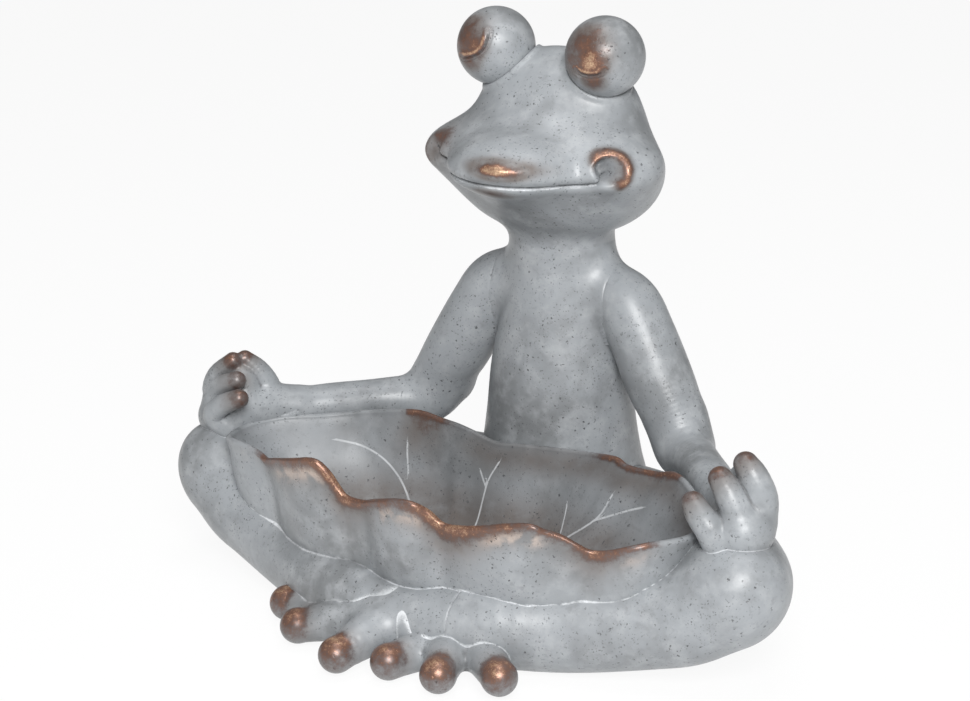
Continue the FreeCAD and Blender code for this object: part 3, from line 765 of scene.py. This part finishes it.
def toe_form(points, root, tip, thick):
    """A fleshy toe that narrows a little behind its ball tip."""
    root, tip = np.array(root, float), np.array(tip, float)
    rows = np.array([(*root, thick), (*(root * 0.5 + tip * 0.5 + (0, 0, 1.5)), 0.5 * thick + 5),
                     (*(root * 0.14 + tip * 0.86), 9.6)])
    return joined(tube(points, rows, 3), ball(points, tip, 10.0), 1.5)


def left_foot_form(points):
    """The end of the left shin with its toes."""
    form = tube(points, SHIN[4:])
    for root, tip in LEFT_TOES:
        form = joined(form, toe_form(points, root, tip, 13.5), 8)
    return form


def right_foot_form(points):
    """The right foot, from under the left shin to its toes."""
    form = tube(points, np.array([(-25, -148, 14, 11), (10, -156, 13, 12), (34, -160, 12, 12)], float))
    for root, tip in RIGHT_TOES:
        form = joined(form, toe_form(points, root, tip, 12), 6)
    return form


def seated(values, points):
    """A form's values where the leaf bowl and the floor leave room for it."""
    return np.maximum(np.maximum(values, -(leaf_filled_form(points) + BEDDING)), -points[:, 2])


def palm_form(points):
    """A cupped palm with a full heel."""
    return joined(tube(points, PALM), egg(points, (174, -99, 88), (16, 17, 15)), 5)


# Rows of x, y, z and radius along each finger and the thumb. Both hands are given on the left side.
DIGITS = {
    "right": [np.array(rows, float) for rows in (
        [(178, -90, 88, 8), (186, -95, 98, 6.8), (183, -95, 110, 6.2), (172, -93, 120.5, 5.2)],
        [(172, -100, 86, 8), (179, -104, 97, 6.8), (173, -104, 107, 6.2), (161, -103, 112.5, 5.6)],
        [(164, -108, 84, 8), (170, -114, 92, 6.8), (163, -115, 100, 6.2), (151.5, -113, 105.5, 5.8)],
        [(158, -78, 94, 10), (159, -78, 104, 8), (163, -81, 113, 6.8), (168.5, -86, 120.5, 5.2)],
        [(165, -90, 98, 10), (167, -90, 107, 9), (169, -90, 113, 6)])],
    "left": [np.array(rows, float) for rows in (
        [(178, -91, 92, 10), (180, -93, 105, 8.8), (176, -94, 116, 7.8), (170.5, -93, 122, 6.6)],
        [(172, -102, 88, 10), (172, -104, 99, 8.4), (166.5, -104, 109, 7.6), (161, -102.5, 115, 6.5)],
        [(164, -109, 84, 9.5), (161, -113, 91, 8.2), (155, -112.5, 96.5, 7.4), (149.5, -110, 101.5, 6.4)],
        [(157, -77, 94, 9.5), (158, -77, 103, 8), (163, -82, 110, 7)])],
}
TIPS = {"right": [(172, -93, 121), (161, -103, 113), (151, -113, 106), (168.5, -86, 121)],
        "left": [(170, -93, 124), (160, -103, 117), (148.5, -110, 103)]}


def hand_form(points, label):
    """Palm, fingers and thumb run together."""
    form = arm_skin(points)
    for digit in DIGITS[label]:
        form = joined(form, tube(points, digit, 4), 2)
    return form


def near_any(points, centres, radius):
    """1 at any of the centres, falling softly to 0 past the given radius."""
    best = np.zeros(len(points))
    for centre in centres:
        away = np.linalg.norm(points - np.asarray(centre, float), axis=1)
        best = np.maximum(best, np.exp(-(away / radius) ** 3))
    return best


def seam_dust(points, *fields):
    """1 where another form's surface passes, falling evenly to 0 at the dust's reach on either side."""
    least = np.full(len(points), DUST_REACH)
    for field in fields:
        least = np.minimum(least, np.abs(field(points.astype(np.float32))))
    return 1 - least / DUST_REACH


def ankle_gap(points):
    """Distance to the ankle seam, whose dust is faint."""
    return np.abs(points[:, 0] - ANKLE_SEAM) + 0.5


def right_foot_gap(points):
    """Distance to the right foot, where it comes out from under the left leg."""
    return np.abs(right_foot_form(points)) + DUST_REACH * smooth_step(26, 16, points[:, 0])


def left_leg_gap(points):
    """Distance to the left leg, where it crosses over the right foot."""
    return np.abs(leg_form(points)) + DUST_REACH * smooth_step(26, 16, points[:, 0])


def left_foot_gap(points):
    """Distance to the left foot, whose dust on the right leg is thin."""
    return np.abs(left_foot_form(points)) + 0.3


def right_leg_gap(points):
    """Distance to the right leg, where it comes out from under the left foot."""
    return np.abs(leg_form(mirrored(points))) + DUST_REACH * smooth_step(-30, -18, points[:, 0])


class Tone:
    """A socket that carries a number. Sums, differences and products of them add Math nodes."""

    def __init__(self, shader, socket):
        self.shader, self.socket = shader, socket

    def _math(self, operation, *values, clamp=False):
        return self.shader.add("ShaderNodeMath", {"operation": operation, "use_clamp": clamp},
                               dict(enumerate(values)))

    def __add__(self, other):
        return self._math("ADD", self, other)

    __radd__ = __add__

    def __sub__(self, other):
        return self._math("SUBTRACT", self, other)

    def __rsub__(self, other):
        return self._math("SUBTRACT", other, self)

    def __mul__(self, other):
        return self._math("MULTIPLY", self, other)

    __rmul__ = __mul__

    def clamped(self):
        return self._math("ADD", self, 0.0, clamp=True)

    def band(self, low, high):
        """Rises smoothly from 0 at low to 1 at high."""
        return self.shader.add("ShaderNodeMapRange", {"interpolation_type": "SMOOTHSTEP"},
                               {0: self, 1: low, 2: high, 3: 0.0, 4: 1.0})


class Shader:
    """The node tree of a material or of the world, empty at first."""

    def __init__(self, owner):
        owner.use_nodes = True
        self.owner = owner
        self.tree = owner.node_tree
        self.tree.nodes.clear()

    def add(self, kind, settings=None, inputs=None, output=0):
        """One node: its settings are set first, then each input gets a value or a link."""
        node = self.tree.nodes.new(kind)
        for key, value in (settings or {}).items():
            setattr(node, key, value)
        for key, value in (inputs or {}).items():
            socket = node.inputs[key]
            if isinstance(value, Tone):
                self.tree.links.new(value.socket, socket)
            else:
                socket.default_value = value
        return Tone(self, node.outputs[output])

    def noise(self, place, scale, detail=3.0, roughness=0.55, distortion=0.0):
        return self.add("ShaderNodeTexNoise", {}, {"Vector": place, "Scale": scale, "Detail": detail,
                                                  "Roughness": roughness, "Distortion": distortion})

    def dots(self, place, scale, rare, size):
        """Small round dots in a share of the cells of a cell pattern."""
        cells = self.add("ShaderNodeTexVoronoi", {"feature": "F1"}, {"Vector": place, "Scale": scale})
        pick = self.add("ShaderNodeTexVoronoi", {"feature": "F1"}, {"Vector": place, "Scale": scale}, 1)
        chosen = self.add("ShaderNodeSeparateColor", {}, {0: pick}).band(rare, rare + 0.05)
        return (1 - cells.band(0.4 * size, size)) * chosen

    def shaken(self, place, scale, reach):
        """The place moved about by a noise, which makes uneven what is drawn with it."""
        noise = self.add("ShaderNodeTexNoise", {}, {"Vector": place, "Scale": scale, "Detail": 2.0}, 1)
        return self.add("ShaderNodeVectorMath", {"operation": "MULTIPLY_ADD"},
                        {0: noise, 1: (reach,) * 3, 2: place})

    def absolute(self, value):
        return self.add("ShaderNodeMath", {"operation": "ABSOLUTE"}, {0: value})

    def mask(self, name):
        return self.add("ShaderNodeAttribute", {"attribute_name": name}, {}, 2)

    def mix(self, factor, first, second):
        """A colour between two colours."""
        return self.add("ShaderNodeMix", {"data_type": "RGBA"},
                        {0: factor, 6: colour(first), 7: colour(second)}, 2)

    def finish(self, inputs):
        """Principled surface with the given inputs, and the material that it makes."""
        self.add_output(self.add("ShaderNodeBsdfPrincipled", {}, inputs))
        return self.owner

    def add_output(self, surface, kind="Material"):
        end = self.tree.nodes.new("ShaderNodeOutput" + kind)
        self.tree.links.new(surface.socket, end.inputs["Surface"])


def colour(value):
    return value if isinstance(value, Tone) else (*value, 1.0)


def painted_casting(name, paint, browning=1.0, veined=False):
    """Satin grey paint with cloudy patches and pits, pale worn lines in the seams with painted highlights
    among the pale lines, painted shade in the hollows, brown smudges in the hollows and copper rubbed over
    the raised places, whose brightest gold is partly a painted highlight, and on the leaf a pinkish rub with
    painted sheen."""
    shader = Shader(bpy.data.materials.new(name))
    place = shader.add("ShaderNodeTexCoord", {}, {}, 3)
    cloud = shader.noise(place, 13.0, 4.0, 0.6, 0.3)
    small = shader.noise(place, 80.0, 4.0, 0.6)
    grit = shader.noise(place, 1100.0, 2.0, 0.7)
    patch = shader.noise(place, 240.0, 3.0, 0.65)
    uneven = shader.shaken(place, 800.0, 0.0028)
    crowded = shader.noise(place, 24.0, 3.0, 0.6)
    pits = shader.dots(uneven, 350.0, 0.45, 0.25) * crowded.band(0.40, 0.56)
    pits = (pits + shader.dots(uneven, 110.0, 0.78, 0.12)).clamped()
    fine_pits = shader.dots(uneven, 620.0, 0.48, 0.34) * shader.noise(place, 44.0, 2.0, 0.5).band(0.38, 0.56)
    copper_mask, pale_mask = shader.mask("copper"), shader.mask("pale")
    hollow_shade_mask, brown_mask = shader.mask("hollow_shade"), shader.mask("brown")

    base = shader.mix(cloud.band(0.34, 0.60), paint.dark_grey, paint.grey)
    base = shader.mix(small.band(0.42, 0.74) * 0.55, base, paint.pale_grey)
    base = shader.mix(patch.band(0.54, 0.72) * 0.35, base, paint.dark_grey)
    smudge = (brown_mask * browning * (0.1 + 1.5 * small)).clamped() * 0.8
    base = shader.mix(smudge, base, paint.umber)
    # Painted shade in the hollows, drawn toward the pit colour
    base = shader.mix((hollow_shade_mask * (0.3 + 0.8 * small)).clamped(), base, paint.pit_and_shade)
    # Pale lines: seam dust, and painted highlights along the lower lip's edge and the far rim's top
    edge = (pale_mask + (small - 0.5) * 0.22 + (grit - 0.5) * 0.14).band(0.83, 0.97)
    dust_and_highlight = (edge * (cloud.band(0.34, 0.60) + 0.25) * (0.25 + 1.1 * small)).clamped()
    if veined:
        away = shader.absolute((shader.mask("vein") - 0.5) * (2 * VEIN_REACH))
        vein = (1 - away.band(0.2, 0.75)) * shader.mask("vein_near")
        dust_and_highlight = (dust_and_highlight + vein * (0.10 + 0.8 * small)).clamped()
        # Pinkish rub with painted sheen below the near crests
        blush_and_sheen = shader.mask("blush_and_sheen") * small.band(0.38, 0.62) * (0.35 + 0.5 * patch)
        base = shader.mix(blush_and_sheen, base, paint.blush_and_sheen)
    base = shader.mix(dust_and_highlight, base, paint.dust_and_highlight)
    base = shader.mix((pits * 0.9 + fine_pits * 0.6).clamped(), base, paint.pit_and_shade)

    rub = copper_mask * 1.2 - 0.12 + (small - 0.5) * 0.5 + (patch - 0.5) * 0.7 + (grit - 0.5) * 0.4
    shown = rub.band(0.08, 0.78) * 0.95
    metal = shader.mix(rub.band(0.35, 0.95), paint.copper_edge, paint.copper)
    # The gold at the rubs' cores is partly a painted highlight
    metal = shader.mix(((rub - 0.74) * 1.7 + (grit - 0.5) * 0.8).clamped(), metal, paint.gold)
    finish = shader.mix(shown, base, metal)
    rough = paint.paint_roughness + (cloud - 0.5) * 0.16 + (grit - 0.5) * 0.10 + hollow_shade_mask * 0.15
    rough = rough + shown * (paint.copper_roughness - paint.paint_roughness)
    height = (grit - 0.5) * 0.25 + (small - 0.5) * 0.4 - pits * 0.8 - fine_pits * 0.4 + dust_and_highlight * 0.5
    bump = shader.add("ShaderNodeBump", {}, {"Strength": 0.35, "Distance": 0.0006, "Height": height})
    return shader.finish({"Base Color": finish, "Roughness": rough.clamped(), "Metallic": shown * 0.55,
                          "Normal": bump})


def brushed_pin(name, paint):
    """Bright drawn steel with a fine uneven bump and small stains."""
    shader = Shader(bpy.data.materials.new(name))
    place = shader.add("ShaderNodeTexCoord", {}, {}, 3)
    streak = shader.noise(place, 600.0, 2.0, 0.6)
    stain = shader.noise(place, 90.0, 3.0, 0.6).band(0.5, 0.75)
    tone = shader.mix(stain, paint.steel, paint.stain)
    bump = shader.add("ShaderNodeBump", {}, {"Strength": 0.2, "Distance": 0.0002, "Height": streak})
    return shader.finish({"Base Color": tone, "Roughness": 0.28 + streak * 0.2, "Metallic": 1.0,
                          "Normal": bump})


def dressed(piece, material):
    piece.data.materials.clear()
    piece.data.materials.append(material)


def paint_material():
    return bpy.data.materials.get("painted_casting") or painted_casting(
        "painted_casting", bpy.context.scene.frog_paint)


def painted(name, node, points, faces, masks):
    """One casting in grey paint, in place of its node."""
    dressed(put_mesh(name, points, faces, masks, node), paint_material())


def pair_of(name, points, faces, masks, labels=("left", "right")):
    """A left casting and its mirror image, or the one of the two that is asked for."""
    for label in labels:
        side = 1 if label == "left" else -1
        node = name + "_" + label
        painted(node + "_cast", node, points * np.array((side, 1, 1)), faces, masks)


def body_masks(points, faces, copper=0.0, dust_and_highlight=0.0, brown=0.0, hollow_shade=1.0):
    """The masks of a casting, with painted shade wherever its own surface is hollow."""
    none = np.zeros(len(points))
    return {"copper": none + copper, "pale": none + dust_and_highlight, "brown": none + brown,
            "hollow_shade": hollow_shade * smooth_step(0.02, 0.2, hollows(points, faces))}


class FROG_OT_torso(bpy.types.Operator):
    """Cast the torso between the seat and the neck seam"""
    bl_idname = "frog.torso"
    bl_label = "Torso"

    def execute(self, context):
        height = np.linspace(6, 202, 210)
        path = np.stack([0 * height, 4 - height / 100, height], -1)
        tilts = math.radians(36) * bell(height - 163, 22)
        points, faces = limb_surface(path, trunk_piece, 300, 24, tilts=tilts)
        painted("torso_cast", "torso_shell", points, faces, body_masks(points, faces, hollow_shade=SKIN_HOLLOW_SHADE))
        return {"FINISHED"}


class FROG_OT_head(bpy.types.Operator):
    """Cast the head with its smiling mouth"""
    bl_idname = "frog.head"
    bl_label = "Head"

    def execute(self, context):
        painted("head_cast", "head_shell", *head_surface())
        return {"FINISHED"}


class FROG_OT_eyes(bpy.types.Operator):
    """Cast both eyes with their drooping lids"""
    bl_idname = "frog.eyes"
    bl_label = "Eyes"

    def execute(self, context):
        for label in ("left", "right"):
            surface = eye_surface(context.scene.frog_shape.eye_radius / MM, label)
            painted("eye_" + label + "_cast", "eye_" + label, *surface)
        return {"FINISHED"}


class FROG_OT_arms(bpy.types.Operator):
    """Cast the upper arms and the forearms"""
    bl_idname = "frog.arms"
    bl_label = "Arms"

    def execute(self, context):
        shoulder = (SHOULDER_SEAM - 4.5, 2.2, 173.5)
        elbow_path = np.vstack([shoulder, UPPER_ARM[2:4, :3], (83.5, -5, 105), ELBOW])
        points, faces = limb_surface(flowing(elbow_path, 24), upper_arm_piece, 160, 0, (1.0, 0.0, 0.0),
                                     ELBOW_RUN)
        pair_of("upper_arm", points, faces, body_masks(points, faces, hollow_shade=SKIN_HOLLOW_SHADE))
        wrist_path = np.vstack([ELBOW, FOREARM[2:4, :3], WRIST])
        points, faces = limb_surface(flowing(wrist_path, 28), arm_skin, 140, 0, ELBOW_RUN,
                                     along(ELBOW, WRIST))
        dust_and_highlight = seam_dust(points, leaf_body_form)
        pair_of("forearm", points, faces, body_masks(points, faces, dust_and_highlight=dust_and_highlight))
        return {"FINISHED"}


class FROG_OT_hands(bpy.types.Operator):
    """Cast the hands, each with thumb and index finger tip to tip"""
    bl_idname = "frog.hands"
    bl_label = "Hands"

    def execute(self, context):
        shape = context.scene.frog_shape
        way = along(ELBOW, WRIST).astype(np.float32)
        for label in ("left", "right"):
            def field(points):
                short = (WRIST.astype(np.float32) - points) @ way
                return np.maximum(hand_form(points, label) + 0.15 * np.maximum(short, 0), short - 5)

            points, faces = poured(field, (133, -135, 62), (206, -55, 135), shape.hand_pitch / MM)
            copper = 0.8 * near_any(points, TIPS[label], 6.5)
            dust_and_highlight = seam_dust(points, leg_form, leaf_body_form)
            masks = body_masks(points, faces, copper, dust_and_highlight, near_any(points, TIPS[label], 11))
            pair_of("hand", points, faces, masks, labels=(label,))
        return {"FINISHED"}


class FROG_OT_legs(bpy.types.Operator):
    """Cast the folded legs, the left one over the right"""
    bl_idname = "frog.legs"
    bl_label = "Legs"

    def execute(self, context):
        pitch = context.scene.frog_shape.limb_pitch / MM
        gap = context.scene.frog_shape.seam / MM

        def left(points):
            cut = kept(leg_form(points), ANKLE_SEAM + gap - points[:, 0], 0.3)
            cut = np.maximum(cut, -(right_foot_form(points) + FOOT_BEDDING))
            return seated(cut, points)

        def right(points):
            flipped = leg_form(mirrored(points))
            cut = np.maximum(flipped, -(left_foot_form(points) + FOOT_BEDDING + 0.5))
            return seated(cut, points)

        for node, field, low, high, beside in (
                ("leg_left", left, (10, -200, -3), (215, 45, 95), (right_foot_gap, ankle_gap)),
                ("leg_right", right, (-215, -200, -3), (15, 45, 95), (left_foot_gap,))):
            points, faces = poured(field, low, high, pitch)
            dust_and_highlight = seam_dust(points, leaf_filled_form, *beside)
            painted(node + "_cast", node, points, faces, body_masks(points, faces, dust_and_highlight=dust_and_highlight))
        return {"FINISHED"}


class FROG_OT_feet(bpy.types.Operator):
    """Cast both feet with three ball-tipped toes each"""
    bl_idname = "frog.feet"
    bl_label = "Feet"

    def execute(self, context):
        pitch = context.scene.frog_shape.foot_pitch / MM

        def left(points):
            cut = np.maximum(left_foot_form(points), points[:, 0] - ANKLE_SEAM)
            cut = np.maximum(cut, -(right_foot_form(points) + FOOT_BEDDING))
            return seated(cut, points)

        def right(points):
            return seated(right_foot_form(points), points)

        for node, field, tips, low, high, beside in (
                ("foot_left", left, [tip for _, tip in LEFT_TOES], (-95, -220, -3), (42, -125, 50),
                 (right_foot_gap, right_leg_gap, ankle_gap)),
                ("foot_right", right, [tip for _, tip in RIGHT_TOES], (-45, -215, -3), (92, -130, 40),
                 (left_leg_gap,))):
            points, faces = poured(field, low, high, pitch)
            copper = near_any(points, [np.array(tip) + (0, -1, 3) for tip in tips], 10.5)
            dust_and_highlight = seam_dust(points, leaf_filled_form, *beside)
            brown = near_any(points, [np.array(tip) + (0, 0, 2) for tip in tips], 13)
            masks = body_masks(points, faces, copper, dust_and_highlight * (1 - copper), brown)
            painted(node + "_cast", node, points, faces, masks)
        return {"FINISHED"}


class FROG_OT_leaf(bpy.types.Operator):
    """Cast the ruffled leaf bowl"""
    bl_idname = "frog.leaf"
    bl_label = "Leaf bowl"

    def execute(self, context):
        points, faces, masks = leaf_surface(context.scene.frog_shape)
        piece = put_mesh("leaf_cast", points, faces, masks, "leaf_bowl")
        dressed(piece, painted_casting("painted_leaf", context.scene.frog_paint, 1.2, True))
        return {"FINISHED"}


class FROG_OT_pins(bpy.types.Operator):
    """Give the glued pins and the neck dowel drawn steel"""
    bl_idname = "frog.pins"
    bl_label = "Pins"

    def execute(self, context):
        steel = brushed_pin("drawn_steel", context.scene.frog_paint)
        for name in ("neck_dowel", "shoulder_pins", "elbow_pins", "wrist_pins"):
            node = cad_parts[name]
            for slot in node.material_slots:
                slot.material = steel
        return {"FINISHED"}


def aimed(holder, place, target):
    """Put a lamp or the camera at its place and turn it towards a target."""
    holder.location = place
    holder.rotation_euler = (target - place).to_track_quat("-Z", "Y").to_euler()
    bpy.context.scene.collection.objects.link(holder)


# Rows of name, place and side in metres, and power in watts, and the point that they shine at
LAMPS = (("key_lamp", (0.95, -1.35, 1.15), 0.75, 39.0), ("fill_lamp", (-1.3, -1.1, 0.9), 1.0, 1.0),
         ("top_lamp", (0.1, -0.2, 1.9), 1.0, 11.0))
LAMP_AIM = (0, -0.08, 0.15)
# Where the camera looks: metres to its right of the origin, and metres up
AIM_ASIDE = -0.0437
AIM_HEIGHT = 0.1315


class FROG_OT_stage(bpy.types.Operator):
    """Lay the floor, light the frog and set up the camera"""
    bl_idname = "frog.stage"
    bl_label = "Stage"

    def execute(self, context):
        stage = context.scene.frog_stage
        bpy.ops.mesh.primitive_plane_add(size=12, location=(0, 0, -0.0004))
        floor = context.object
        floor.name = "floor"
        shader = Shader(bpy.data.materials.new("floor"))
        place = shader.add("ShaderNodeTexCoord", {}, {}, 3)
        mottle = shader.noise(place, 3.0, 2.0)
        tone = shader.mix(mottle * 0.1, stage.floor, (0.9, 0.9, 0.9))
        matt = shader.add("ShaderNodeBsdfDiffuse", {}, {"Color": tone})
        seen = shader.add("ShaderNodeLightPath", {}, {}, 0) + shader.add("ShaderNodeLightPath", {}, {}, 3)
        glow = shader.add("ShaderNodeEmission", {}, {"Color": (1, 1, 1, 1), "Strength": 1.0})
        whitened = seen.clamped() * stage.whitening
        shader.add_output(shader.add("ShaderNodeMixShader", {}, {0: whitened, 1: matt, 2: glow}))
        floor.data.materials.append(shader.owner)

        context.scene.world = bpy.data.worlds.new("studio")
        sky = Shader(context.scene.world)
        lit, white = (sky.add("ShaderNodeBackground", {}, {"Color": (1, 1, 1, 1), "Strength": strength})
                      for strength in (stage.sky, 1.0))
        seen = sky.add("ShaderNodeLightPath", {}, {}, 0)
        sky.add_output(sky.add("ShaderNodeMixShader", {}, {0: seen, 1: lit, 2: white}), "World")

        for name, place, size, power in LAMPS:
            lamp = bpy.data.lights.new(name, "AREA")
            lamp.energy, lamp.size = power, size
            aimed(bpy.data.objects.new(name, lamp), Vector(place), Vector(LAMP_AIM))

        turn = stage.camera_turn
        spot = Vector((math.sin(turn) * stage.camera_distance, -math.cos(turn) * stage.camera_distance,
                       stage.camera_height))
        aim = Vector((math.cos(turn), math.sin(turn), 0)) * AIM_ASIDE + Vector((0, 0, AIM_HEIGHT))
        camera = bpy.data.objects.new("camera", bpy.data.cameras.new("camera"))
        camera.data.lens = stage.lens
        camera.data.sensor_width = 36
        aimed(camera, spot, aim)
        context.scene.camera = camera
        context.scene.view_settings.view_transform = "Standard"
        return {"FINISHED"}


PIECES = (FROG_OT_torso, FROG_OT_head, FROG_OT_eyes, FROG_OT_arms, FROG_OT_hands, FROG_OT_legs, FROG_OT_feet,
          FROG_OT_leaf, FROG_OT_pins, FROG_OT_stage)
GROUPS = {"frog_paint": FrogPaint, "frog_shape": FrogShape, "frog_stage": FrogStage}


class FROG_PT_sidebar(bpy.types.Panel):
    """Lists the frog's pieces"""
    bl_idname = "FROG_PT_sidebar"
    bl_label = "Frog with a leaf bowl"
    bl_space_type = "VIEW_3D"
    bl_region_type = "UI"
    bl_category = "Frog"

    def draw(self, context):
        for piece in PIECES:
            self.layout.operator(piece.bl_idname)
        for key, group in GROUPS.items():
            box = self.layout.box()
            for name in group.__annotations__:
                box.prop(getattr(context.scene, key), name)


CLASSES = tuple(GROUPS.values()) + PIECES + (FROG_PT_sidebar,)


def register():
    for kind in CLASSES:
        bpy.utils.register_class(kind)
    for key, group in GROUPS.items():
        setattr(bpy.types.Scene, key, bpy.props.PointerProperty(type=group))


def unregister():
    for key in GROUPS:
        delattr(bpy.types.Scene, key)
    for kind in reversed(CLASSES):
        bpy.utils.unregister_class(kind)


def main():
    register()
    for piece in PIECES:
        group, name = piece.bl_idname.split(".")
        getattr(getattr(bpy.ops, group), name)()


if __name__ == "__main__":
    main()
